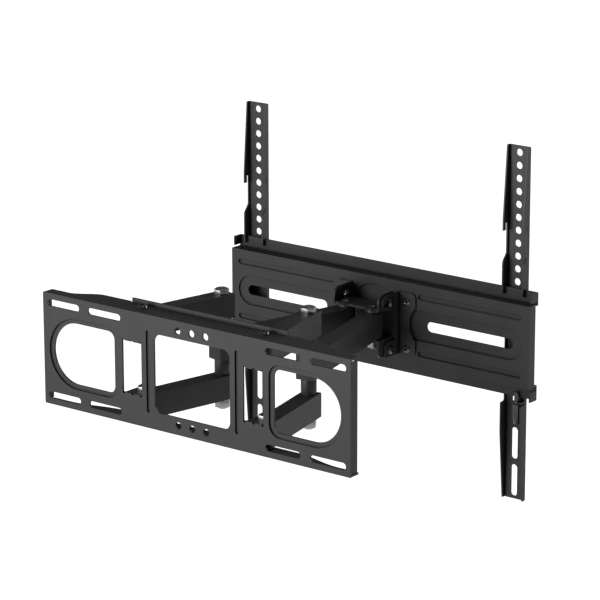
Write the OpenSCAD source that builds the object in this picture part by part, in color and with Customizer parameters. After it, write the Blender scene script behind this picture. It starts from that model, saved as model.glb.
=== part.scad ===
// Full motion television wall mount: a pressed wall plate, two folding arms of
// square tube, a tilting head plate and two hook-on television brackets.
// X runs along the wall, Y from the wall to the television, Z up.
// The origin is the middle of the wall plate's face against the wall.

/* [Wall plate] */
// Width of the wall plate
plate_w = 462; // [440:1:560]
// Height of the wall plate over its top and bottom flanges
plate_h = 138.8; // [134:0.2:180]
// Thickness of the wall plate's sheet
plate_t = 2.5; // [2:0.1:3]
// Depth of the wall plate's side flanges
plate_side = 13; // [8:0.5:16]
// Depth of the top flange in its middle stretch
flange_deep = 34; // [33:0.5:38]
// Depth of the top and bottom flanges near their ends
flange_end = 16; // [13:0.5:20]
// Depth of the bottom flange in its middle stretch
low_flange_deep = 29; // [28:0.5:38]
// Half length of the upturned lip along the top flange
lip_half = 117; // [105:1:130]
// Height of the upturned lip above the top flange
lip_rise = 5; // [3:0.5:8]
// Length of a wall slot, end to end
wall_slot_l = 51; // [40:1:56]
// Width of a wall slot
wall_slot_w = 8.5; // [6.5:0.1:10]
// Distance from the middle to the outer slots' centres
slot_outer_x = 199; // [196:0.5:200]
// Distance from the middle to the inner slots' centres
slot_inner_x = 134.2; // [134:0.2:138]
// Distance of the slots and holes from the plate's top and bottom edges
slot_edge = 11.7; // [9:0.1:13]
// Diameter of the six round wall holes
wall_hole_d = 8.8; // [6:0.1:10]
// Spacing of the round wall holes
wall_hole_step = 21; // [16:0.5:24]
// Half width of the centre window
centre_half_w = 57; // [40:0.5:60]
// Half height of the centre window
centre_half_h = 48; // [44:0.5:50]
// Width of the narrow window at each wall pivot
narrow_w = 29.5; // [26:0.5:30]
// Half height of a D window
d_half_h = 38; // [30:0.5:40]
// Distance from the middle to a D window's straight side
d_inner_x = 120; // [118:0.5:126]
// Distance from the middle to a D window's round end
d_outer_x = 216; // [200:0.5:218]
// Depth of the pressed ribs and rims
press = 2; // [0.8:0.1:2.5]

/* [Arms] */
// Distance from the middle to each wall pivot
wall_pivot_x = 91.5; // [88:0.5:94]
// Distance from the wall to the wall pivots
wall_pivot_y = 20; // [18:0.5:21]
// Distance from the middle to each elbow, with the arms out
elbow_x = 66; // [62:0.5:72]
// Distance from the wall to the elbows, with the arms out
elbow_y = 136; // [125:1:165]
// Distance from the middle to each head pivot
head_pivot_x = 21; // [19:0.5:24]
// Distance from the wall to the head pivots, with the arms out
head_pivot_y = 323; // [290:1:390]
// Width of an arm link
link_w = 23; // [22:0.5:28]
// Height of a rear link
link_h = 30; // [24:0.5:34]
// Height of a front link
front_h = 31; // [24:0.5:34]
// Wall of an arm link
link_t = 2.5; // [1.5:0.1:3]
// Length of a rear link past its elbow
rear_past = 11; // [10:0.5:14]
// Length of a front link past its elbow
front_past = 11.5; // [10:0.5:14]
// Gap between the flange and the rear link, where a plastic washer lies
pivot_washer_t = 1.5; // [1:0.1:3]
// Gap between the rear link and the wall plate's tab, where a plastic washer lies
tab_washer_t = 1; // [0.8:0.1:1.5]
// Diameter of the spacer tubes and of the bushes welded in the links
spacer_d = 19; // [16:0.5:20]
// Diameter of the elbow bolts
elbow_bolt_d = 10; // [8:0.5:12]
// Diameter of the wall pivot and head pivot bolts
pivot_bolt_d = 8; // [6:0.5:10]
// Radial running clearance of a bolt in its hole
run_gap = 0.05; // [0.02:0.01:0.08]
// Gap between a washer or spacer and the piece that turns on it
slide_gap = 0.3; // [0.2:0.05:0.4]

/* [Head] */
// Height of the head's middle above the wall plate's middle
head_z = -2; // [-6:0.5:2]
// Width of the head plate
head_w = 460; // [448:1:540]
// Height of the head plate's face
head_h = 104; // [100:1:130]
// Thickness of the head plate's sheet
head_t = 2; // [1.5:0.1:2.5]
// Distance from the head pivots to the head plate's face
head_ahead = 33; // [31:0.5:40]
// Distance from the head plate's face to its lips
shelf = 16.5; // [14:0.5:22]
// Height of the upper lip
lip_up = 14.5; // [12:0.5:18]
// Height of the lower lip
lip_down = 17.5; // [14:0.5:18]
// Depth of the head plate's side flanges
head_side = 13; // [8:0.5:14]
// Thickness of the swivel bracket and the tilt brackets
bracket_t = 2.5; // [2:0.1:3]
// Outer half width of the swivel bracket
swivel_half = 35; // [34:0.5:38]
// Gap between the front links and the swivel bracket, where a plastic washer lies
head_washer_t = 3; // [2:0.5:5]
// Diameter of the washers at the head pivots
head_washer_d = 20; // [18:0.5:22]
// Diameter of the wide hole in the right front link, where the linkage is open
open_bore = 16; // [15.5:0.5:18]
// Height of the tilt screws above the head's middle
tilt_up = 28.7; // [28:0.1:32]
// Depth of the tilt screws below the head's middle
tilt_down = 31.6; // [30:0.1:34]
// Distance from the head pivots to the tilt screws
tilt_ahead = 13.5; // [12.5:0.5:16]
// Diameter of the tilt screws and the head plate's screws
screw_d = 6; // [5:0.5:6]
// Largest tilt of the screen downwards, in degrees
tilt_fore = 10; // [5:1:10]
// Largest tilt of the screen upwards, in degrees
tilt_back = 5; // [2:1:6]

/* [Television brackets] */
// Distance between the two columns of television holes
column_gap = 400; // [300:10:400]
// Sideways place of the pair of brackets on the head
column_shift = -3.5; // [-8:0.5:8]
// Width of a television bracket
tv_w = 31; // [28:0.5:34]
// Thickness of a television bracket
tv_t = 2; // [1.5:0.1:2.5]
// Height of the brackets' top ends
tv_top = 239.5; // [236:0.5:260]
// Height of the brackets' bottom ends
tv_bottom = -205; // [-230:0.5:-205]
// Height of the top television hole
hole_top = 231; // [228:0.5:231]
// Pitch of the television holes
hole_pitch = 16; // [14:0.5:16]
// Number of round holes in each bracket
hole_count = 11; // [5:1:11]
// Diameter of the television holes and width of the television slots
hole_d = 9; // [6.5:0.1:10]
// Length of a television slot, end to end
tv_slot_l = 40.6; // [30:0.1:42]
// Pitch of the television slots
tv_slot_pitch = 47.6; // [46:0.1:50]
// Depth of the hooks, from the bracket's back
hook_deep = 12.7; // [12.5:0.1:16]
// Clearance of the hooks around the head plate's lip
hook_gap = 0.8; // [0.4:0.1:1.2]
// Diameter of the security screws
lock_d = 5.6; // [4:0.1:6]
// Diameter of the security screws' knobs
knob_d = 9; // [8:0.5:10]

/* [Hidden] */
$fn = 48;
black = [0.16, 0.16, 0.17];
dark = [0.10, 0.10, 0.11];
zinc = [0.62, 0.62, 0.64];
plastic = [0.06, 0.06, 0.07];
eps = 0.01;

half_w = plate_w / 2;
half_h = plate_h / 2;
slot_z = half_h - slot_edge;
tab_w = narrow_w - 4.5;
rib_x = (centre_half_w + wall_pivot_x - narrow_w / 2) / 2;
d_r = d_half_h;
d_cx = d_outer_x - d_r;

// Heights of the link levels
rear_top = half_h - plate_t - pivot_washer_t;
rear_low = rear_top - link_h;
front_top = front_h / 2;
front_low = -front_h / 2;
tab_top = rear_low - tab_washer_t;

rear_len = norm([wall_pivot_x - elbow_x, elbow_y - wall_pivot_y]);
rear_lean = atan2(wall_pivot_x - elbow_x, elbow_y - wall_pivot_y);
front_len = norm([elbow_x - head_pivot_x, head_pivot_y - elbow_y]);
front_lean = atan2(elbow_x - head_pivot_x, head_pivot_y - elbow_y);

// Places on the head
face_y = head_pivot_y + head_ahead;
lip_y = face_y + shelf;
face_top = head_z + head_h / 2;
face_low = head_z - head_h / 2;
plate_in = front_top + head_washer_t;
plate_out = plate_in + bracket_t + 0.5;
tilt_y = head_pivot_y + tilt_ahead;
tilt_up_z = head_z + tilt_up;
tilt_low_z = head_z - tilt_down;
tilt_reach = tilt_up + tilt_down;
lug_x = swivel_half + 0.5;
web_y = head_pivot_y + 20.5;
swivel_front = head_pivot_y - 7;
lobe_r = 10.5;
tv_back = lip_y + 2 * head_t + 3.5;
hook_y = tv_back - hook_deep;
slot_front = lip_y - hook_gap;
slot_back = lip_y + head_t + hook_gap;
lock_y = lip_y - lock_d / 2 - 0.3;
lock_x = tv_w / 4 - 0.25;
lock_tab_z = face_low - lip_down - 5.5;
screw_x = lug_x + bracket_t + 12;
screw_up_z = head_z + 28.7;
screw_low_z = head_z - 32.2;

// ---------- shared shapes ----------

// A flat sheet standing across Y: the outline is drawn in X and Z
module across_y(y, t) {
    translate([0, y + t, 0]) rotate([90, 0, 0]) linear_extrude(t) children();
}

// A flat sheet standing across X: the outline is drawn in Y and Z
module across_x(x, t) {
    translate([x, 0, 0]) rotate([90, 0, 90]) linear_extrude(t) children();
}

// A flat sheet lying level: the outline is drawn in X and Y
module level(z, t) {
    translate([0, 0, z]) linear_extrude(t) children();
}

// The same shape on the left and on the right
module both_sides() {
    children();
    mirror([1, 0, 0]) children();
}

// The same shape above and below the wall plate's middle
module up_and_down() {
    children();
    mirror([0, 0, 1]) children();
}

module right_or_left(side) {
    if (side > 0) children();
    else mirror([1, 0, 0]) children();
}

module box2(x0, x1, y0, y1) {
    translate([x0, y0]) square([x1 - x0, y1 - y0]);
}

// A rectangle with round corners
module round_box(x0, x1, y0, y1, r) {
    box2(x0 + r, x1 - r, y0, y1);
    box2(x0, x1, y0 + r, y1 - r);
    for (x = [x0 + r, x1 - r], y = [y0 + r, y1 - r]) translate([x, y]) circle(r);
}

// A long hole with round ends, along X
module slot_x(x, y, length, width) {
    box2(x - (length - width) / 2, x + (length - width) / 2, y - width / 2, y + width / 2);
    for (s = [-1, 1]) translate([x + s * (length - width) / 2, y]) circle(width / 2);
}

// A long hole with round ends, along Z
module slot_z2(x, y, length, width) {
    box2(x - width / 2, x + width / 2, y - (length - width) / 2, y + (length - width) / 2);
    for (s = [-1, 1]) translate([x, y + s * (length - width) / 2]) circle(width / 2);
}

module post(x, y, z0, z1, d) {
    translate([x, y, z0]) cylinder(h = z1 - z0, d = d);
}

// A tube standing on end
module sleeve(x, y, z0, z1, d, bore) {
    translate([x, y, z0]) linear_extrude(z1 - z0) difference() {
        circle(d = d);
        circle(d = bore);
    }
}

// A low domed screw head of the given height, rising from z = 0
module dome(d, h) {
    ball = (d * d / 4 + h * h) / (2 * h);
    intersection() {
        translate([0, 0, h - ball]) sphere(ball, $fn = 96);
        cylinder(h = h, d = d);
    }
}

// A hexagonal block with a bore, rising from z = 0
module hex_nut(flats, h, bore) {
    linear_extrude(h) difference() {
        circle(d = flats / cos(30), $fn = 6);
        circle(d = bore);
    }
}

// ---------- wall plate ----------

module d_window(grow) {
    r = window_r + grow;
    x = d_inner_x - grow;
    h = d_half_h + grow;
    box2(x + r, d_cx, -h, h);
    box2(x, d_cx, -h + r, h - r);
    translate([d_cx, 0]) circle(d_r + grow, $fn = 96);
    for (s = [-1, 1]) translate([x + r, s * (h - r)]) circle(r);
}

function ease(x, x0, x1) = (1 + cos(180 * (x - x0) / (x1 - x0))) / 2;

top_step = 69;
low_step = 100;
step_end = 27;
corner_gap = 4;
rim = 6;
press_side = 2;
window_r = 10;
rib_w = 5;
rib_end = 19;
relief_r = 1.5;
relief_w = 3;

// A flange seen from above: deep in the middle, then a soft step down to its end depth
module flange_outline(deep, step_start) {
    x0 = half_w - step_start;
    x1 = half_w - step_end;
    step = [for (x = [x0 : (x1 - x0) / 12 : x1 + eps])
        [x, flange_end + (deep - flange_end) * ease(x, x0, x1)]];
    end = [[half_w - 0.5, flange_end], [half_w - 0.5, 0]];
    half = concat([[0, 0], [0, deep]], step, end);
    difference() {
        both_sides() polygon(half);
        both_sides() translate([wall_pivot_x, wall_pivot_y]) circle(d = pivot_bolt_d + 2 * run_gap);
    }
}

// The tongue folded back from a narrow window's edge, which holds the pivot's inner end
module pivot_tab() {
    level(tab_top - plate_t, plate_t) difference() {
        translate([wall_pivot_x, 0]) union() {
            box2(-tab_w / 2, tab_w / 2, 0, wall_pivot_y);
            translate([0, wall_pivot_y]) circle(tab_w / 2);
        }
        translate([wall_pivot_x, wall_pivot_y]) circle(d = pivot_bolt_d + 2 * run_gap);
    }
}

module wall_plate() color(black) difference() {
    union() {
        across_y(0, plate_t) box2(-half_w, half_w, -half_h, half_h);
        both_sides() {
            across_x(half_w - plate_t, plate_t) box2(0, plate_side, corner_gap - half_h, half_h - corner_gap);
            across_y(plate_t - eps, press) d_window(rim + press_side);
            across_y(plate_t - eps, press)
                slot_z2(rib_x, 0, 2 * (half_h - rib_end + press_side), rib_w + 2 * press_side);
        }
        level(half_h - plate_t, plate_t) difference() {
            flange_outline(flange_deep, top_step);
            both_sides() box2(lip_half, lip_half + relief_w, flange_deep - 2 * plate_t, flange_deep + 1);
        }
        level(-half_h, plate_t) flange_outline(low_flange_deep, low_step);
        across_y(flange_deep - plate_t, plate_t)
            box2(-lip_half, lip_half, half_h - plate_t, half_h + lip_rise);
        up_and_down() both_sides() pivot_tab();
    }
    both_sides() {
        across_y(-1, 1 + press) d_window(rim);
        across_y(-1, 10) d_window(0);
        across_y(-1, 1 + press) slot_z2(rib_x, 0, 2 * (half_h - rib_end), rib_w);
        across_y(-1, plate_t + 2) slot_x(slot_outer_x, slot_z, wall_slot_l, wall_slot_w);
        across_y(-1, plate_t + 2) slot_x(slot_outer_x, -slot_z, wall_slot_l, wall_slot_w);
        across_y(-1, plate_t + 2) slot_x(slot_inner_x, slot_z, wall_slot_l, wall_slot_w);
        across_y(-1, plate_t + 2) slot_x(slot_inner_x, -slot_z, wall_slot_l, wall_slot_w);
        across_y(-1, plate_t + 2) translate([wall_pivot_x, 0])
            box2(-narrow_w / 2, narrow_w / 2, -tab_top + plate_t, tab_top - plate_t);
        for (s = [-1, 1], x = [-tab_w / 2 - relief_r / 2, 0, tab_w / 2 + relief_r / 2])
            across_y(-1, plate_t + 1 - eps)
                translate([wall_pivot_x + x, s * (tab_top - plate_t + 0.6)]) circle(relief_r);
    }
    for (s = [-1, 1], x = [-1, 0, 1])
        across_y(-1, plate_t + 2) translate([x * wall_hole_step, s * slot_z]) circle(d = wall_hole_d);
    across_y(-1, plate_t + 2)
        round_box(-centre_half_w, centre_half_w, -centre_half_h, centre_half_h, window_r);
}

// ---------- wall pivots ----------

pivot_head_d = 14;
pivot_head_h = 4.5;
pivot_nut_flats = 13;
pivot_nut_h = 5;
bolt_end = 2;
washer_ease = 0.2;

module wall_pivot_bolts(side) color(dark) right_or_left(side) up_and_down() {
    post(wall_pivot_x, wall_pivot_y, tab_top - plate_t - pivot_nut_h - bolt_end, half_h + 1,
        pivot_bolt_d);
    translate([wall_pivot_x, wall_pivot_y, half_h]) dome(pivot_head_d, pivot_head_h);
}

module wall_pivot_nuts(side) color(zinc) right_or_left(side) up_and_down()
    translate([wall_pivot_x, wall_pivot_y, tab_top - plate_t - pivot_nut_h])
        hex_nut(pivot_nut_flats, pivot_nut_h, pivot_bolt_d);

module wall_pivot_washers(side) color(plastic) right_or_left(side) up_and_down() {
    sleeve(wall_pivot_x, wall_pivot_y, rear_top + slide_gap, half_h - plate_t, spacer_d,
        pivot_bolt_d + washer_ease);
    sleeve(wall_pivot_x, wall_pivot_y, tab_top, rear_low - slide_gap, spacer_d,
        pivot_bolt_d + washer_ease);
}

// ---------- arm links ----------

// A link lying along Y from a pivot at the origin: a channel with closed ends, open
// underneath, and a bush welded in at each pivot. One end is round and one is square
module link(length, height, z0, near_past, far_past, near_bore, far_bore) {
    half = link_w / 2;
    y0 = -near_past;
    y1 = length + far_past;
    z1 = z0 + height;
    difference() {
        union() {
            difference() {
                level(z0, height) link_outline(half, y0, y1, length, 0);
                level(z0 - 1, height - link_t + 1) link_outline(half, y0, y1, length, link_t);
            }
            post(0, 0, z0, z1 - eps, spacer_d);
            post(0, length, z0, z1 - eps, spacer_d);
        }
        post(0, 0, z0 - 1, z1 + 1, near_bore);
        post(0, length, z0 - 1, z1 + 1, far_bore);
    }
}

// The link from above. An end with no length past its pivot is round
module link_outline(half, y0, y1, length, inset) {
    w = half - inset;
    box2(-w, w, y0 < 0 ? y0 + inset : 0, y1 > length ? y1 - inset : length);
    if (y0 == 0) circle(w);
    if (y1 == length) translate([0, length]) circle(w);
}

module rear_link(side, z0) color(black) right_or_left(side)
    translate([wall_pivot_x, wall_pivot_y, 0]) rotate([0, 0, rear_lean])
        link(rear_len, link_h, z0, 0, rear_past, pivot_bolt_d + 2 * run_gap,
            elbow_bolt_d + 2 * run_gap);

// The right link's hole at the head is wide, so that both arms can turn together
module front_link(side) color(black) right_or_left(side)
    translate([elbow_x, elbow_y, 0]) rotate([0, 0, front_lean])
        link(front_len, front_h, front_low, front_past, 0, elbow_bolt_d + 2 * run_gap,
            side > 0 ? open_bore : pivot_bolt_d + 2 * run_gap);

// ---------- elbows ----------

elbow_flats = 17;
elbow_head_h = 7;
elbow_nut_h = 9.5;
elbow_washer_t = 1.5;
elbow_washer_d = 20;

module elbow_bolt(side) color(zinc) right_or_left(side) {
    post(elbow_x, elbow_y, -rear_top - elbow_washer_t - elbow_nut_h - bolt_end, rear_top + 1,
        elbow_bolt_d);
    translate([elbow_x, elbow_y, rear_top]) intersection() {
        cylinder(h = elbow_head_h, d = elbow_flats / cos(30), $fn = 6);
        dome(elbow_flats / cos(30) + 9, elbow_head_h + 1.2);
        cylinder(h = elbow_head_h, d = elbow_flats * 2);
    }
}

module elbow_nut(side) color(zinc) right_or_left(side)
    translate([elbow_x, elbow_y, -rear_top - elbow_washer_t - elbow_nut_h])
        hex_nut(elbow_flats, elbow_nut_h, elbow_bolt_d);

module elbow_washer(side) color(zinc) right_or_left(side)
    sleeve(elbow_x, elbow_y, -rear_top - elbow_washer_t, -rear_top, elbow_washer_d,
        elbow_bolt_d + washer_ease);

module elbow_spacers(side) color(dark) right_or_left(side) {
    sleeve(elbow_x, elbow_y, front_top + slide_gap, rear_low, spacer_d, elbow_bolt_d + washer_ease);
    sleeve(elbow_x, elbow_y, -rear_low, front_low - slide_gap, spacer_d, elbow_bolt_d + washer_ease);
}

// ---------- head pivots ----------

head_nut_h = 8;

module head_pivot_bolt(side) color(dark) right_or_left(side) {
    post(head_pivot_x, head_pivot_y, -plate_out - head_nut_h - bolt_end, plate_out + 1,
        pivot_bolt_d);
    translate([head_pivot_x, head_pivot_y, plate_out]) dome(pivot_head_d, pivot_head_h);
}

module head_pivot_nut(side) color(zinc) right_or_left(side)
    translate([head_pivot_x, head_pivot_y, -plate_out - head_nut_h])
        hex_nut(pivot_nut_flats, head_nut_h, pivot_bolt_d);

module head_pivot_washers(side) color(plastic) right_or_left(side) {
    sleeve(head_pivot_x, head_pivot_y, front_top + slide_gap, plate_in, head_washer_d,
        pivot_bolt_d + washer_ease);
    sleeve(head_pivot_x, head_pivot_y, -plate_in, front_low - slide_gap, head_washer_d,
        pivot_bolt_d + washer_ease);
}

// ---------- swivel bracket ----------

ear_up_r = 11;
ear_up_over = 12.5;
ear_low_r = 7.5;
ear_low_over = 7.5;

// A level plate of the bracket, with a lobe at each pivot
module swivel_plate(z) level(z, plate_out - plate_in) difference() {
    union() {
        box2(-swivel_half, swivel_half, swivel_front, web_y + bracket_t);
        both_sides() translate([head_pivot_x, head_pivot_y]) circle(lobe_r);
    }
    both_sides() translate([head_pivot_x, head_pivot_y]) circle(d = pivot_bolt_d + 2 * run_gap);
}

// An ear that stands up or hangs down from a level plate, with a round front corner
module ear(z0, z1, r) {
    y0 = swivel_front - 1;
    y1 = web_y + bracket_t;
    up = z1 > z0 ? 1 : -1;
    box2(y0 + r, y1, min(z0, z1), max(z0, z1));
    box2(y0, y1, min(z0, z1 - up * r), max(z0, z1 - up * r));
    translate([y0 + r, z1 - up * r]) circle(r);
}

module swivel_bracket() color(black) difference() {
    union() {
        swivel_plate(plate_in);
        swivel_plate(-plate_out);
        across_y(web_y, bracket_t)
            box2(-swivel_half, swivel_half, -plate_out, plate_out);
        both_sides() across_x(swivel_half - bracket_t, bracket_t) {
            ear(plate_in, tilt_up_z + ear_up_over, ear_up_r);
            ear(-plate_in, tilt_low_z - ear_low_over, ear_low_r);
        }
    }
    for (z = [tilt_up_z, tilt_low_z]) both_sides()
        across_x(swivel_half - bracket_t - 1, bracket_t + 2)
            translate([tilt_y, z]) circle(d = screw_d + 2 * run_gap);
}

// ---------- tilt ----------

screw_head_d = 10.5;
screw_head_h = 3.3;
screw_flats = 10;
screw_nut_h = 4.5;

// A screw of the head, through the origin along +X, with its domed head at x = 0
module head_screw(reach) {
    rotate([0, 90, 0]) union() {
        dome(screw_head_d, screw_head_h);
        translate([0, 0, -reach]) cylinder(h = reach + 1, d = screw_d);
    }
}

module tilt_screws() color(dark) both_sides() for (z = [tilt_up_z, tilt_low_z])
    translate([lug_x + bracket_t + 0.3, tilt_y, z])
        head_screw(lug_x - swivel_half + 2 * bracket_t + screw_nut_h + 1.8);

module tilt_nuts() color(zinc) both_sides() for (z = [tilt_up_z, tilt_low_z])
    translate([swivel_half - bracket_t, tilt_y, z]) rotate([0, -90, 0]) rotate([0, 0, 30])
        hex_nut(screw_flats, screw_nut_h, screw_d);

lug_up_under = 9.2;
lug_up_over = 10.8;
lug_low_under = 8.5;
lug_low_over = 11;
lug_low_ahead = 11;
lug_corner_r = 6;
lug_neck = 12;
slot_ease = 0.6;
nose_wall = 3.2;

// The lug plate's outline: an upper and a lower lug joined by a narrow stretch
module lug_outline() {
    y1 = face_y;
    up0 = tilt_up_z - lug_up_under;
    up1 = tilt_up_z + lug_up_over;
    up_r = (up1 - up0) / 2;
    low0 = tilt_low_z - lug_low_under;
    low1 = tilt_low_z + lug_low_over;
    low_y = tilt_y - lug_low_ahead;
    r = lug_corner_r;
    nose = tilt_y - tilt_reach * sin(tilt_fore) - screw_d / 2 - nose_wall;
    box2(nose + up_r, y1, up0, up1);
    translate([nose + up_r, up0 + up_r]) circle(up_r);
    box2(low_y, y1, low0, low1 - r);
    box2(low_y + r, y1, low0, low1);
    translate([low_y + r, low1 - r]) circle(r);
    box2(y1 - lug_neck, y1, low0, up1);
}

// The curved slot in which the upper tilt screw runs, around the lower tilt screw
module tilt_slot() {
    turns = tilt_fore + tilt_back;
    steps = 6;
    for (i = [0 : steps]) {
        a = -tilt_back + turns * i / steps;
        translate([tilt_y - tilt_reach * sin(a), tilt_low_z + tilt_reach * cos(a)])
            circle(d = screw_d + slot_ease);
    }
    arc = [for (i = [0 : steps]) -tilt_back + turns * i / steps];
    outer = tilt_reach + (screw_d + slot_ease) / 2;
    inner = tilt_reach - (screw_d + slot_ease) / 2;
    polygon(concat(
        [for (a = arc) [tilt_y - outer * sin(a), tilt_low_z + outer * cos(a)]],
        [for (i = [steps : -1 : 0]) [tilt_y - inner * sin(arc[i]), tilt_low_z + inner * cos(arc[i])]]));
}

waist_w = 24.6;
waist_r = 30;
waist_deep = 9.2;
waist_corner = 7;
waist_under = 7.8;
waist_over = 11.2;

// The flange that lies on the head plate, with a waist in its outer edge
module flange_waist() {
    x0 = lug_x;
    x1 = lug_x + bracket_t + waist_w;
    z0 = tilt_low_z - waist_under;
    z1 = tilt_up_z + waist_over;
    r = waist_corner;
    difference() {
        union() {
            box2(x0, x1 - r, z0, z1);
            box2(x0, x1, z0 + r, z1 - r);
            for (z = [z0 + r, z1 - r]) translate([x1 - r, z]) circle(r);
        }
        translate([x1 + waist_r - waist_deep, (z0 + z1) / 2]) circle(waist_r, $fn = 96);
        for (z = [screw_up_z, screw_low_z]) translate([screw_x, z]) circle(d = screw_d + 0.2);
    }
}

module tilt_bracket(side) color(black) right_or_left(side) difference() {
    union() {
        across_x(lug_x, bracket_t) lug_outline();
        across_y(face_y - bracket_t, bracket_t) flange_waist();
    }
    across_x(lug_x - 1, bracket_t + 2) tilt_slot();
    across_x(lug_x - 1, bracket_t + 2) translate([tilt_y, tilt_low_z]) circle(d = screw_d + 2 * run_gap);
}

module plate_screws() color(dark) both_sides() for (z = [screw_up_z, screw_low_z])
    translate([screw_x, face_y - bracket_t, z]) rotate([0, 0, -90])
        head_screw(bracket_t + head_t + screw_nut_h + 1.5);

module plate_nuts() color(zinc) both_sides() for (z = [screw_up_z, screw_low_z])
    translate([screw_x, face_y + head_t, z]) rotate([-90, 0, 0])
        hex_nut(screw_flats, screw_nut_h, screw_d);

// ---------- head plate ----------

rib_z = 36.2;
stadium_r = 19.6;
head_slot_w = 13;
head_slot_in = 77.5;
head_end = 25;
dish_r = 40;
dish_up = 2.7;

head_rib_in = 65;
head_rib_w = 7.5;
stadium_in = 42.5;
pressing_end = 11;
head_press_side = 1.2;

// The shapes pressed into the head's face; grow widens them for the back of the sheet
module head_pressings(grow) {
    x1 = head_w / 2 - pressing_end;
    both_sides() {
        for (s = [-1, 1]) slot_x((head_rib_in + x1) / 2, head_z + s * rib_z,
            x1 - head_rib_in + 2 * grow, head_rib_w + 2 * grow);
        slot_x((stadium_in + x1) / 2, head_z, x1 - stadium_in + 2 * grow, 2 * (stadium_r + grow));
    }
    translate([0, head_z + dish_up]) circle(dish_r + grow, $fn = 96);
}

lip_tab_l = 12;
lip_tab_deep = 12.5;

// A lip's end tab, folded towards the wall
module lip_tab(z0, z1) both_sides()
    across_x(head_w / 2 - head_t, head_t) box2(lip_y - lip_tab_deep, lip_y + head_t, z0, z1);

module head_plate() color(black) difference() {
    union() {
        across_y(face_y, head_t) box2(-head_w / 2, head_w / 2, face_low, face_top);
        across_y(face_y + head_t - eps, press) head_pressings(head_press_side);
        both_sides() across_x(head_w / 2 - head_t, head_t)
            box2(face_y, face_y + head_side, face_low + 2.5, face_top - 2.5);
        level(face_top - head_t, head_t)
            box2(-head_w / 2, head_w / 2, face_y, lip_y + head_t);
        level(face_low, head_t)
            box2(-head_w / 2, head_w / 2, face_y, lip_y + head_t);
        across_y(lip_y, head_t) box2(-head_w / 2, head_w / 2, face_top - head_t, face_top + lip_up);
        across_y(lip_y, head_t) box2(-head_w / 2, head_w / 2, face_low - lip_down, face_low + head_t);
        lip_tab(face_top + lip_up - lip_tab_l, face_top + lip_up);
        lip_tab(face_low - lip_down, face_low - lip_down + lip_tab_l);
    }
    across_y(face_y - 1, 1 + press) head_pressings(0);
    both_sides() {
        across_y(face_y - 1, 10) slot_x((head_slot_in + head_w / 2 - head_end) / 2, head_z + 0.3,
            head_w / 2 - head_end - head_slot_in, head_slot_w);
        for (z = [screw_up_z, screw_low_z])
            across_y(face_y - 1, head_t + 2) translate([screw_x, z]) circle(d = screw_d + 0.2);
    }
}

// ---------- television brackets ----------

finger_low = face_top + lip_up + 70;
hook_low = face_top + 6;
slot_top = face_top + lip_up + 0.5;
knob_l = 25;
notch_h = 9;
finger_h = 14;
curve_start = 27;
curve_end = 41;
end_slope = 6;
lock_tab_low = 4.5;
taper_start = 38;
tab_over = 1.5;

// The side wall of a bracket: two hooks that open downwards, then a long taper
module hook_outline() {
    s0 = finger_low - curve_start;
    s1 = finger_low - curve_end;
    curve = [for (z = [s0 : (s1 - s0) / 8 : s1 - eps])
        [hook_y + (slot_back - hook_y) * ease(z, s0, s1), z]];
    low = lock_tab_z - lock_tab_low;
    polygon(concat(
        [[tv_back, tv_top], [tv_back - end_slope, tv_top], [hook_y, finger_low + finger_h],
         [hook_y, finger_low], [slot_front, finger_low], [slot_front, finger_low + notch_h],
         [slot_back, finger_low + notch_h]],
        curve,
        [[hook_y, s1], [hook_y, hook_low], [slot_front, hook_low], [slot_front, slot_top],
         [slot_back, slot_top], [slot_back, low + 2], [slot_back - 1, low + 0.5], [hook_y + 1, low],
         [hook_y, low - 1], [hook_y, low - taper_start], [tv_back - end_slope, tv_bottom],
         [tv_back, tv_bottom]]));
}

module tv_holes() {
    for (i = [0 : hole_count - 1]) translate([0, hole_top - i * hole_pitch]) circle(d = hole_d);
    for (i = [0 : 3])
        slot_z2(0, tv_bottom + 3.5 + tv_slot_l / 2 + i * tv_slot_pitch, tv_slot_l, hole_d);
}

module tv_bracket(side) color(black)
    translate([side * column_gap / 2 + column_shift, 0, 0]) difference() {
        union() {
            across_y(tv_back - tv_t, tv_t) box2(-tv_w / 2, tv_w / 2, tv_bottom, tv_top);
            for (x = [-tv_w / 2, tv_w / 2 - tv_t]) across_x(x, tv_t) hook_outline();
            level(lock_tab_z - tv_t, tv_t) box2(1, tv_w / 2, hook_y, slot_back + tab_over);
        }
        across_y(tv_back - tv_t - 1, tv_t + 2) tv_holes();
        post(lock_x, lock_y, lock_tab_z - tv_t - 1, lock_tab_z + 1, lock_d + 2 * run_gap);
    }

module security_screw(side) color(dark)
    translate([side * column_gap / 2 + column_shift + lock_x, lock_y, 0]) {
        tip = face_low - 10;
        top = lock_tab_z - tv_t - slide_gap;
        post(0, 0, top - 1, tip, lock_d);
        post(0, 0, top - knob_l, top, knob_d);
    }

wall_plate();
wall_pivot_bolts(-1);  // wall_pivot_bolts_left
wall_pivot_bolts(1);  // wall_pivot_bolts_right
wall_pivot_nuts(-1);  // wall_pivot_nuts_left
wall_pivot_nuts(1);  // wall_pivot_nuts_right
wall_pivot_washers(-1);  // wall_pivot_washers_left
wall_pivot_washers(1);  // wall_pivot_washers_right
rear_link(-1, rear_low);  // rear_link_upper_left
rear_link(1, rear_low);  // rear_link_upper_right
rear_link(-1, -rear_top);  // rear_link_lower_left
rear_link(1, -rear_top);  // rear_link_lower_right
elbow_bolt(-1);  // elbow_bolt_left
elbow_bolt(1);  // elbow_bolt_right
elbow_nut(-1);  // elbow_nut_left
elbow_nut(1);  // elbow_nut_right
elbow_washer(-1);  // elbow_washer_left
elbow_washer(1);  // elbow_washer_right
elbow_spacers(-1);  // elbow_spacers_left
elbow_spacers(1);  // elbow_spacers_right
front_link(-1);  // front_link_left
front_link(1);  // front_link_right
head_pivot_bolt(-1);  // head_pivot_bolt_left
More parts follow.
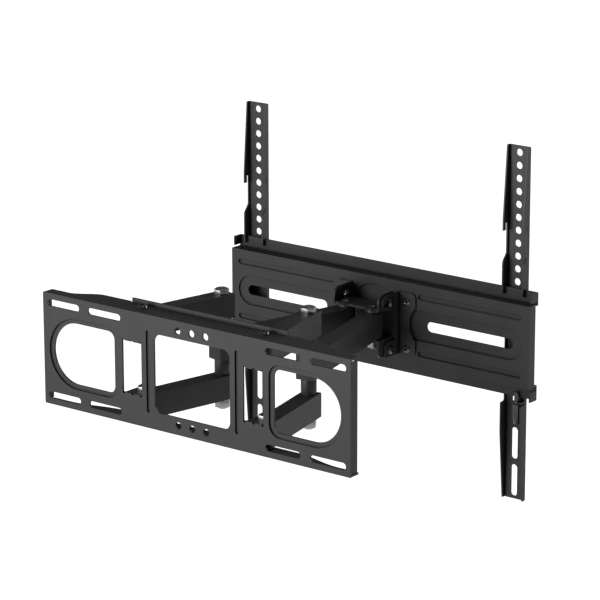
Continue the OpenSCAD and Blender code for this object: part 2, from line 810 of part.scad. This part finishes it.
head_pivot_bolt(1);  // head_pivot_bolt_right
head_pivot_nut(-1);  // head_pivot_nut_left
head_pivot_nut(1);  // head_pivot_nut_right
head_pivot_washers(-1);  // head_pivot_washers_left
head_pivot_washers(1);  // head_pivot_washers_right
swivel_bracket();
tilt_screws();
tilt_nuts();
tilt_bracket(-1);  // tilt_bracket_left
tilt_bracket(1);  // tilt_bracket_right
plate_screws();
plate_nuts();
head_plate();
tv_bracket(-1);  // tv_bracket_left
tv_bracket(1);  // tv_bracket_right
security_screw(-1);  // security_screw_left
security_screw(1);  // security_screw_right
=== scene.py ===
"""A full motion television wall mount in black powder-coated steel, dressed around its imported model."""

import math

import bmesh
import bpy
from mathutils import Matrix, Vector


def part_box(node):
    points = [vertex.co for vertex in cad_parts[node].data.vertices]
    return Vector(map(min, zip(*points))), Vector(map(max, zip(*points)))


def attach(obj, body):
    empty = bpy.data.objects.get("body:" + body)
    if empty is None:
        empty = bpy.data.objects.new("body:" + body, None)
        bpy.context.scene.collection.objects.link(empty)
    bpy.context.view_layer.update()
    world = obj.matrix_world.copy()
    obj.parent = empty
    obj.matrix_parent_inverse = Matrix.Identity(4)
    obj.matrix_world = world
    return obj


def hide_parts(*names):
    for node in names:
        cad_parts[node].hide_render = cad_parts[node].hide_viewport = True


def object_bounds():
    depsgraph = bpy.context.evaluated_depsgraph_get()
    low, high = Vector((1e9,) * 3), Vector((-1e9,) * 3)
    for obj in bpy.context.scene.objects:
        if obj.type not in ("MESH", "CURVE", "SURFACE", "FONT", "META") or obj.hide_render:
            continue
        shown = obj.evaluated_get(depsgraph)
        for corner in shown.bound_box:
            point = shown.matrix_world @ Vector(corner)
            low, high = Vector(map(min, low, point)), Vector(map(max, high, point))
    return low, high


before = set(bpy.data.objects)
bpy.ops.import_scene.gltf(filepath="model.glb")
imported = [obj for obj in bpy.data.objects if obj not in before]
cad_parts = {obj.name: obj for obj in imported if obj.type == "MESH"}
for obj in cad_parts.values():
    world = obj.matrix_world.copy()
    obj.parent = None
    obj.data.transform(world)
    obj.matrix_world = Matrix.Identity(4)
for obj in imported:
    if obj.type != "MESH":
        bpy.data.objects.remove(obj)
cad_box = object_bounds()


# ---------- Camera ----------
# A long lens, well back, so that the wall plate and the head stay nearly parallel. It looks
# at the mount from the wall's side, from the right and a little above.

view_azimuth = math.radians(38.08)
view_elevation = math.radians(15.684)
view_roll = math.radians(-0.112)
view_distance = 3.6906
view_right = 0.12554
view_up = 0.09492

camera_data = bpy.data.cameras.new("camera")
camera_data.sensor_width = 36.0
camera_data.lens = 191.1
camera_data.clip_end = 50.0
camera = bpy.data.objects.new("camera", camera_data)
bpy.context.scene.collection.objects.link(camera)
bpy.context.scene.camera = camera

backwards = Vector((math.sin(view_azimuth) * math.cos(view_elevation),
                    -math.cos(view_azimuth) * math.cos(view_elevation),
                    math.sin(view_elevation)))
level_right = Vector((math.cos(view_azimuth), math.sin(view_azimuth), 0.0))
level_up = backwards.cross(level_right)
rightwards = level_right * math.cos(view_roll) + level_up * math.sin(view_roll)
upwards = level_up * math.cos(view_roll) - level_right * math.sin(view_roll)
turn = Matrix((rightwards, upwards, backwards)).transposed().to_4x4()
place = backwards * view_distance + rightwards * view_right + upwards * view_up
camera.matrix_world = Matrix.Translation(place) @ turn


# ---------- Studio ----------
# A pale floor well below the mount, a dim white room, and three soft lamps: a strong one on the
# wall's side for the faces, a weak one above for the shelves, and one behind for the back.

bpy.context.scene.view_settings.view_transform = "Standard"

room = bpy.data.worlds.new("white_room")
room.use_nodes = True
room.node_tree.nodes["Background"].inputs["Color"].default_value = (1.0, 1.0, 1.0, 1.0)
room.node_tree.nodes["Background"].inputs["Strength"].default_value = 0.16
bpy.context.scene.world = room


def soft_lamp(name, at, towards, size, watts):
    """A square area lamp at a point, facing another point."""
    lamp = bpy.data.lights.new(name, "AREA")
    lamp.shape = "SQUARE"
    lamp.size = size
    lamp.energy = watts
    holder = bpy.data.objects.new(name, lamp)
    bpy.context.scene.collection.objects.link(holder)
    facing = (Vector(towards) - Vector(at)).to_track_quat("-Z", "Y").to_matrix().to_4x4()
    holder.matrix_world = Matrix.Translation(Vector(at)) @ facing
    holder.visible_camera = False
    return holder


soft_lamp("face_lamp", (-0.5, -1.15, 0.32), (0.0, 0.05, 0.0), 0.8, 44.0)
soft_lamp("top_lamp", (0.3, 0.2, 2.4), (0.0, 0.2, 0.0), 1.6, 8.0)
soft_lamp("back_lamp", (0.5, 1.9, 0.6), (0.0, 0.3, 0.0), 1.0, 42.0)

floor_mesh = bmesh.new()
bmesh.ops.create_grid(floor_mesh, x_segments=1, y_segments=1, size=40.0)
bmesh.ops.translate(floor_mesh, verts=floor_mesh.verts, vec=(0.0, 0.0, cad_box[0][2] - 1.2))
floor_data = bpy.data.meshes.new("floor")
floor_mesh.to_mesh(floor_data)
floor_mesh.free()
floor = bpy.data.objects.new("floor", floor_data)
bpy.context.scene.collection.objects.link(floor)


def linear(code):
    """An sRGB hex colour as the linear colour that a shader takes."""
    channels = [int(code[i:i + 2], 16) / 255 for i in (0, 2, 4)]
    bent = [c / 12.92 if c <= 0.04045 else ((c + 0.055) / 1.055) ** 2.4 for c in channels]
    return (*bent, 1.0)


def add(material, kind, settings=None, **links):
    """Adds a shader node. Settings name attributes or inputs, and links name inputs to feed."""
    node = material.node_tree.nodes.new(kind)
    for key, value in (settings or {}).items():
        if key in node.inputs:
            node.inputs[key].default_value = value
        else:
            setattr(node, key, value)
    for key, source in links.items():
        material.node_tree.links.new(source, node.inputs[key.replace("_", " ")])
    return node


def new_material(name):
    material = bpy.data.materials.new(name)
    material.use_nodes = True
    material.node_tree.nodes.remove(material.node_tree.nodes["Principled BSDF"])
    return material


def to_output(material, shader):
    output = material.node_tree.nodes["Material Output"]
    material.node_tree.links.new(shader.outputs["BSDF"], output.inputs["Surface"])


painted_floor = new_material("matt_painted_floor")
to_output(painted_floor, add(painted_floor, "ShaderNodeBsdfPrincipled",
                             {"Base Color": linear("fafafa"), "Roughness": 0.9,
                              "Emission Color": linear("ffffff"), "Emission Strength": 1.0}))
floor.data.materials.append(painted_floor)


# ---------- Pressed and folded steel ----------
# Every plate, link and bracket is sheet steel with a fine matt powder coat. The coat is baked
# powder: it has a slight orange peel and a dull sheen, and it rounds every cut edge a little.

mm = 0.001
# How far the painted shade in the coat's nooks reaches.
painted_shade_reach = 4.0 * mm
weld = 0.004 * mm
flat_angle = math.radians(0.6)
sheet_crease = math.radians(38.0)


def per_metre(millimetres):
    """The noise scale that gives features of about that size."""
    return 1.0 / (millimetres * mm)


def powder_coat(name, colour, lighter, peel_height):
    """Polyester powder coat on steel, its peel at 1.6 mm. Its base colour carries painted shade, darker in
    its own nooks.
    """
    material = new_material(name)
    where = add(material, "ShaderNodeTexCoord").outputs["Object"]
    cloud = add(material, "ShaderNodeTexNoise", {"Scale": per_metre(38.0), "Detail": 3.0}, Vector=where)
    tint = add(material, "ShaderNodeValToRGB", Fac=cloud.outputs["Fac"])
    tint.color_ramp.elements[0].position = 0.3
    tint.color_ramp.elements[0].color = linear(colour)
    tint.color_ramp.elements[1].position = 0.7
    tint.color_ramp.elements[1].color = linear(lighter)
    grain = add(material, "ShaderNodeTexNoise", {"Scale": per_metre(1.6), "Detail": 2.0}, Vector=where)
    dull = add(material, "ShaderNodeMapRange", {"To Min": 0.44, "To Max": 0.56}, Value=grain.outputs["Fac"])
    peel = add(material, "ShaderNodeBump", {"Strength": 0.35, "Distance": peel_height * mm},
               Height=grain.outputs["Fac"])
    # Painted shade: ambient occlusion darkens the base colour in the coat's own nooks, recesses and fold
    # corners.
    painted_nook_shade = add(material, "ShaderNodeAmbientOcclusion",
               {"Distance": painted_shade_reach, "samples": 12, "only_local": True})
    painted_shade_depth = add(material, "ShaderNodeMapRange", {"From Min": 0.74, "From Max": 0.9, "To Min": 0.06},
                Value=painted_nook_shade.outputs["AO"])
    base = add(material, "ShaderNodeVectorMath", {"operation": "SCALE"}, Vector=tint.outputs["Color"],
               Scale=painted_shade_depth.outputs["Result"])
    to_output(material, add(material, "ShaderNodeBsdfPrincipled",
                            {"IOR": 1.5, "Specular IOR Level": 0.2},
                            Base_Color=base.outputs["Vector"], Roughness=dull.outputs["Result"],
                            Normal=peel.outputs["Normal"]))
    return material


coat = powder_coat("powder_coated_steel", "171718", "1b1b1c", 0.05)


def shown(name, mesh, body, slot, material, *nodes):
    """Makes the object of a finished mesh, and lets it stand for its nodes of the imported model."""
    bmesh.ops.recalc_face_normals(mesh, faces=mesh.faces)
    data = bpy.data.meshes.new(name)
    mesh.to_mesh(data)
    mesh.free()
    piece = bpy.data.objects.new(name, data)
    bpy.context.scene.collection.objects.link(piece)
    piece.data.materials.append(material)
    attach(piece, body)
    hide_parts(*nodes)
    return piece


def folded_sheet(node, body, edge, partings=(), sharp=25.0):
    """A copy of a plate with its triangles joined into flat faces and its edges rounded.

    The faces are parted at these places along X, so that no face goes right round a hole."""
    mesh = bmesh.new()
    mesh.from_mesh(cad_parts[node].data)
    bmesh.ops.remove_doubles(mesh, verts=mesh.verts, dist=weld)
    for x in partings:
        whole = mesh.verts[:] + mesh.edges[:] + mesh.faces[:]
        cut = bmesh.ops.bisect_plane(mesh, geom=whole, dist=0.001 * mm, plane_co=(x * mm, 0, 0),
                                     plane_no=(1, 0, 0))
        for each in cut["geom_cut"]:
            if isinstance(each, bmesh.types.BMEdge):
                each.seam = True
    bmesh.ops.dissolve_limit(mesh, angle_limit=flat_angle, verts=mesh.verts, edges=mesh.edges,
                             delimit={"SEAM"})
    corners = [e for e in mesh.edges if e.is_manifold and e.calc_face_angle(0.0) > math.radians(sharp)]
    bmesh.ops.bevel(mesh, geom=corners, offset=edge * mm, offset_type="OFFSET", affect="EDGES",
                    segments=2, profile=0.5, clamp_overlap=True, material=-1)
    for face in mesh.faces:
        face.smooth = True
    for each in mesh.edges:
        each.smooth = not each.is_manifold or each.calc_face_angle(0.0) < sheet_crease
    sheet = shown(node + "_coated", mesh, body, "powder_coat", coat, node)
    flat = sheet.modifiers.new("flat_faces", "WEIGHTED_NORMAL")
    flat.weight = 100
    flat.keep_sharp = True
    return sheet


wall_holes = (21.0, 66.9, 78.25, 91.5, 104.75, 134.2, 199.0)
folded_sheet("wall_plate", "wall", 0.5, [0.0, *wall_holes, *(-x for x in wall_holes)])


# ---------- Dome screws ----------
# Button-head screws of black oiled steel with a hexagon socket. They are turned from bar, so
# the head is a smooth shallow dome, and the polish gives each a small bright highlight.

blackened = new_material("black_oiled_steel")
blackened_where = add(blackened, "ShaderNodeTexCoord").outputs["Object"]
blackened_film = add(blackened, "ShaderNodeTexNoise", {"Scale": per_metre(2.5), "Detail": 3.0},
                     Vector=blackened_where)
blackened_shine = add(blackened, "ShaderNodeMapRange", {"To Min": 0.12, "To Max": 0.22},
                      Value=blackened_film.outputs["Fac"])
to_output(blackened, add(blackened, "ShaderNodeBsdfPrincipled",
                         {"Base Color": linear("3a3a3c"), "Metallic": 0.8},
                         Roughness=blackened_shine.outputs["Result"]))

round_sides = 48
turned_crease = math.radians(40.0)
large_screw = {"head_d": 14 * mm, "head_h": 4.5 * mm, "shank_d": 8 * mm, "thread": 12 * mm,
               "socket": 5 * mm}
small_screw = {"head_d": 10.5 * mm, "head_h": 3.3 * mm, "shank_d": 6 * mm, "thread": 6 * mm,
               "socket": 4 * mm}


def turned(mesh, profile, sides=round_sides):
    """Spins a profile of (radius, height) points about Z, as a lathe does."""
    verts = [mesh.verts.new((r, 0.0, z)) for r, z in profile]
    edges = [mesh.edges.new(pair) for pair in zip(verts, verts[1:])]
    bmesh.ops.spin(mesh, geom=verts + edges, cent=(0, 0, 0), axis=(0, 0, 1), angle=math.tau,
                   steps=sides, use_merge=True, use_duplicate=False)
    bmesh.ops.remove_doubles(mesh, verts=mesh.verts, dist=0.001 * mm)


def open_edges(mesh):
    return [e for e in mesh.edges if e.is_boundary or e.is_wire]


def threaded(radius, low, length, pitch):
    """The profile of a threaded shank, up from its chamfered end on the axis."""
    chamfer = radius * 0.18
    points = [(0.0, low), (radius - chamfer, low), (radius, low + chamfer)]
    for i in range(int((length - 2 * chamfer) / pitch)):
        z = low + chamfer + i * pitch
        points += [(radius * 0.9, z + pitch / 2), (radius, z + pitch)]
    return points


def dome_screw(mesh, reach, spot, head_d, head_h, shank_d, thread, socket):
    """Adds a screw with its head's seat at z = 0 and its shank below, put at spot."""
    one = bmesh.new()
    slip = 0.01 * mm
    radius = shank_d / 2 - slip
    pitch = 1.0 * mm if shank_d < 7 * mm else 1.25 * mm
    lip = 0.3 * mm
    mouth = socket * 0.64
    ball = (head_d * head_d / 4 + head_h * head_h) / (2 * head_h)
    profile = threaded(radius, -reach, thread, pitch)
    profile += [(radius, 0.0), (head_d / 2 - lip, 0.0)]
    steps = 9
    for i in range(steps + 1):
        r = head_d / 2 - lip / 2 - (head_d / 2 - lip / 2 - mouth) * i / steps
        profile.append((r, math.sqrt(ball * ball - r * r) - (ball - head_h)))
    turned(one, profile)
    rim = open_edges(one)
    made = bmesh.ops.create_circle(one, segments=6, radius=socket / 2 / math.cos(math.pi / 6))
    socket_step = 0.2 * mm
    top = profile[-1][1] - socket_step
    bmesh.ops.translate(one, verts=made["verts"], vec=(0.0, 0.0, top))
    corners = [e for e in one.edges if e.is_wire]
    bmesh.ops.subdivide_edges(one, edges=corners, cuts=round_sides // 6 - 1)
    bmesh.ops.bridge_loops(one, edges=rim + [e for e in one.edges if e.is_wire])
    sunk = bmesh.ops.extrude_edge_only(one, edges=open_edges(one))
    sunk_verts = [g for g in sunk["geom"] if isinstance(g, bmesh.types.BMVert)]
    bmesh.ops.translate(one, verts=sunk_verts, vec=(0.0, 0.0, -head_h * 0.5))
    bmesh.ops.contextual_create(one, geom=open_edges(one))
    bmesh.ops.transform(one, matrix=spot, verts=one.verts)
    data = bpy.data.meshes.new("one_screw")
    one.to_mesh(data)
    one.free()
    mesh.from_mesh(data)
    bpy.data.meshes.remove(data)


def facing(at, direction):
    """Puts something made along +Z at a point, facing a direction."""
    turned = Vector(direction).to_track_quat("Z", "Y").to_matrix().to_4x4()
    return Matrix.Translation(Vector(at)) @ turned


def finish_turned(mesh):
    """Smooth faces with crisp corners, as a lathe leaves them."""
    for face in mesh.faces:
        face.smooth = True
    for each in mesh.edges:
        each.smooth = not each.is_manifold or each.calc_face_angle(0.0) < turned_crease


def middle(low, high):
    return (low + high) / 2


wall_pivot_reach = 44.5 * mm

for side in ("left", "right"):
    node = f"wall_pivot_bolts_{side}"
    low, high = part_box(node)
    mesh = bmesh.new()
    for up in (1, -1):
        seat = (high.z - large_screw["head_h"]) * up
        spot = facing((middle(low.x, high.x), middle(low.y, high.y), seat), (0, 0, up))
        dome_screw(mesh, wall_pivot_reach, spot, **large_screw)
    finish_turned(mesh)
    shown(node + "_turned", mesh, "wall", "black_screw", blackened, node)


# ---------- Nuts and washers of the pivots ----------
# The lock nuts are dull zinc-plated steel with chamfered corners. The washers between the
# links and the plate are black nylon, stamped from sheet, with a faint milky sheen.

zinc = new_material("zinc_plated_steel")
zinc_where = add(zinc, "ShaderNodeTexCoord").outputs["Object"]
zinc_cloud = add(zinc, "ShaderNodeTexNoise", {"Scale": per_metre(3.0), "Detail": 4.0}, Vector=zinc_where)
zinc_tint = add(zinc, "ShaderNodeValToRGB", Fac=zinc_cloud.outputs["Fac"])
zinc_tint.color_ramp.elements[0].color = linear("6c6c6f")
zinc_tint.color_ramp.elements[1].color = linear("88888b")
zinc_dull = add(zinc, "ShaderNodeMapRange", {"To Min": 0.3, "To Max": 0.45}, Value=zinc_cloud.outputs["Fac"])
to_output(zinc, add(zinc, "ShaderNodeBsdfPrincipled", {"Metallic": 1.0},
                    Base_Color=zinc_tint.outputs["Color"], Roughness=zinc_dull.outputs["Result"]))

nylon = new_material("moulded_nylon")
nylon_where = add(nylon, "ShaderNodeTexCoord").outputs["Object"]
nylon_grain = add(nylon, "ShaderNodeTexNoise", {"Scale": per_metre(0.9), "Detail": 2.0}, Vector=nylon_where)
nylon_bump = add(nylon, "ShaderNodeBump", {"Strength": 0.2, "Distance": 0.03 * mm},
                 Height=nylon_grain.outputs["Fac"])
to_output(nylon, add(nylon, "ShaderNodeBsdfPrincipled",
                     {"Base Color": linear("141415"), "Roughness": 0.5, "IOR": 1.53},
                     Normal=nylon_bump.outputs["Normal"]))


def eased_copy(node, body, slot, material, edge):
    """A copy of small parts with their corners eased, as plating and tumbling leave them."""
    mesh = bmesh.new()
    mesh.from_mesh(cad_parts[node].data)
    bmesh.ops.remove_doubles(mesh, verts=mesh.verts, dist=weld)
    bmesh.ops.dissolve_limit(mesh, angle_limit=flat_angle, verts=mesh.verts, edges=mesh.edges)
    corners = [e for e in mesh.edges if e.is_manifold and e.calc_face_angle(0.0) > math.radians(28.0)]
    bmesh.ops.bevel(mesh, geom=corners, offset=edge * mm, offset_type="OFFSET", affect="EDGES",
                    segments=2, profile=0.5, clamp_overlap=True, material=-1)
    finish_turned(mesh)
    return shown(node + "_eased", mesh, body, slot, material, node)


for side in ("left", "right"):
    eased_copy(f"wall_pivot_nuts_{side}", "wall", "zinc_steel", zinc, 0.4)
    eased_copy(f"wall_pivot_washers_{side}", "wall", "nylon", nylon, 0.15)


# ---------- Rear links ----------
# Two deep channels to each arm, one above the other, folded from thick strip with their ends
# closed. A bush is welded in at each pivot, and the whole link is coated after welding.

for side in ("left", "right"):
    for level in ("upper", "lower"):
        folded_sheet(f"rear_link_{level}_{side}", f"rear_arm_{side}", 0.5)


# ---------- Elbows ----------
# A long hexagon bolt of zinc-plated steel holds each elbow, with a washer and a nut below.
# Two coated spacer tubes keep the front link at the middle of the bolt.

for side in ("left", "right"):
    for part in ("bolt", "nut", "washer"):
        eased_copy(f"elbow_{part}_{side}", f"rear_arm_{side}", "zinc_steel", zinc, 0.5)
    eased_copy(f"elbow_spacers_{side}", f"rear_arm_{side}", "powder_coat", coat, 0.3)


# ---------- Front links ----------
# One longer channel to each arm, square at the elbow and round at the head, made like the
# rear links.

for side in ("left", "right"):
    folded_sheet(f"front_link_{side}", f"front_arm_{side}", 0.5)


# ---------- Head pivots and swivel bracket ----------
# A folded bracket takes the two front links between its plates. Each turns on a dome screw
# with a nut below, and on two thick nylon washers.

folded_sheet("swivel_bracket", "swivel_head", 0.35)
for side in ("left", "right"):
    node = f"head_pivot_bolt_{side}"
    low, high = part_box(node)
    mesh = bmesh.new()
    seat = high.z - large_screw["head_h"]
    spot = facing((middle(low.x, high.x), middle(low.y, high.y), seat), (0, 0, 1))
    dome_screw(mesh, seat - low.z, spot, **large_screw)
    finish_turned(mesh)
    shown(node + "_turned", mesh, "swivel_head", "black_screw", blackened, node)
    eased_copy(f"head_pivot_nut_{side}", "swivel_head", "zinc_steel", zinc, 0.4)
    eased_copy(f"head_pivot_washers_{side}", "swivel_head", "nylon", nylon, 0.3)


# ---------- Tilt ----------
# Two angle brackets bolted to the head plate turn on the lower screws, and the upper screws
# run in curved slots. The screws clamp them to the ears of the swivel bracket.


def four_screws(node, body, reach, seats):
    """Four button-head screws of one node. Each seat is its place and the way its head faces."""
    low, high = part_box(node)
    mesh = bmesh.new()
    for at, way in seats(low, high):
        dome_screw(mesh, reach, facing(at, way), **small_screw)
    finish_turned(mesh)
    return shown(node + "_turned", mesh, body, "black_screw", blackened, node)


small_r = small_screw["head_d"] / 2
tilt_screw_reach = 11.8 * mm


def tilt_seats(low, high):
    for side in (-1, 1):
        for z in (low.z + small_r, high.z - small_r):
            yield (side * (high.x - small_screw["head_h"]), middle(low.y, high.y), z), (side, 0, 0)


def plate_seats(low, high):
    for side in (-1, 1):
        for z in (low.z + small_r, high.z - small_r):
            yield (side * (high.x - small_r), low.y + small_screw["head_h"], z), (0, -1, 0)


four_screws("tilt_screws", "swivel_head", tilt_screw_reach, tilt_seats)
eased_copy("tilt_nuts", "swivel_head", "zinc_steel", zinc, 0.3)
for side in ("left", "right"):
    folded_sheet(f"tilt_bracket_{side}", "tilt_head", 0.35)


# ---------- Head plate ----------
# The wide plate that carries the television brackets. Pressed ribs, an oval on each side and a
# dish in the middle stiffen its face, and its top and bottom edges are folded into lips.

head_holes = (50.0, 130.0)
folded_sheet("head_plate", "tilt_head", 0.5, [0.0, *head_holes, *(-x for x in head_holes)])
plate_low, plate_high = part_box("plate_screws")
four_screws("plate_screws", "tilt_head", plate_high.y - plate_low.y - small_screw["head_h"],
            plate_seats)
eased_copy("plate_nuts", "tilt_head", "zinc_steel", zinc, 0.3)


# ---------- Television brackets ----------
# Long channels that screw to the television and hook over the head plate's lips. They are
# folded from thinner sheet, so their edges are crisper.

for side in ("left", "right"):
    folded_sheet(f"tv_bracket_{side}", f"bracket_{side}", 0.22)


# ---------- Security screws ----------
# A screw through each bracket's bottom tab stops it lifting off. Its long round knob has
# grooves for the fingers, cut along it.

grooves = 18
groove_depth = 0.35 * mm
knob_length = 25 * mm
knob_radius = 4.5 * mm
lock_radius = 2.8 * mm

for side in ("left", "right"):
    node = f"security_screw_{side}"
    low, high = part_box(node)
    mesh = bmesh.new()
    top = low.z + knob_length
    ease = 0.5 * mm
    turned(mesh, [(0.0, low.z), (knob_radius - ease, low.z), (knob_radius, low.z + ease),
                  (knob_radius, low.z + 2 * ease), (knob_radius, top - 2 * ease),
                  (knob_radius, top - ease), (knob_radius - ease, top), (lock_radius, top),
                  (lock_radius, high.z - ease), (lock_radius - ease, high.z), (0.0, high.z)],
           grooves * 4)
    for vert in mesh.verts:
        held = low.z + 1.5 * ease < vert.co.z < top - 1.5 * ease
        step = round(math.atan2(vert.co.y, vert.co.x) / math.tau * grooves * 4)
        if held and vert.co.xy.length > lock_radius + ease and step % 4 in (0, 1):
            vert.co.xy *= 1 - groove_depth / knob_radius
    bmesh.ops.translate(mesh, verts=mesh.verts, vec=(middle(low.x, high.x), middle(low.y, high.y), 0))
    finish_turned(mesh)
    shown(node + "_knurled", mesh, f"lock_{side}", "black_screw", blackened, node)
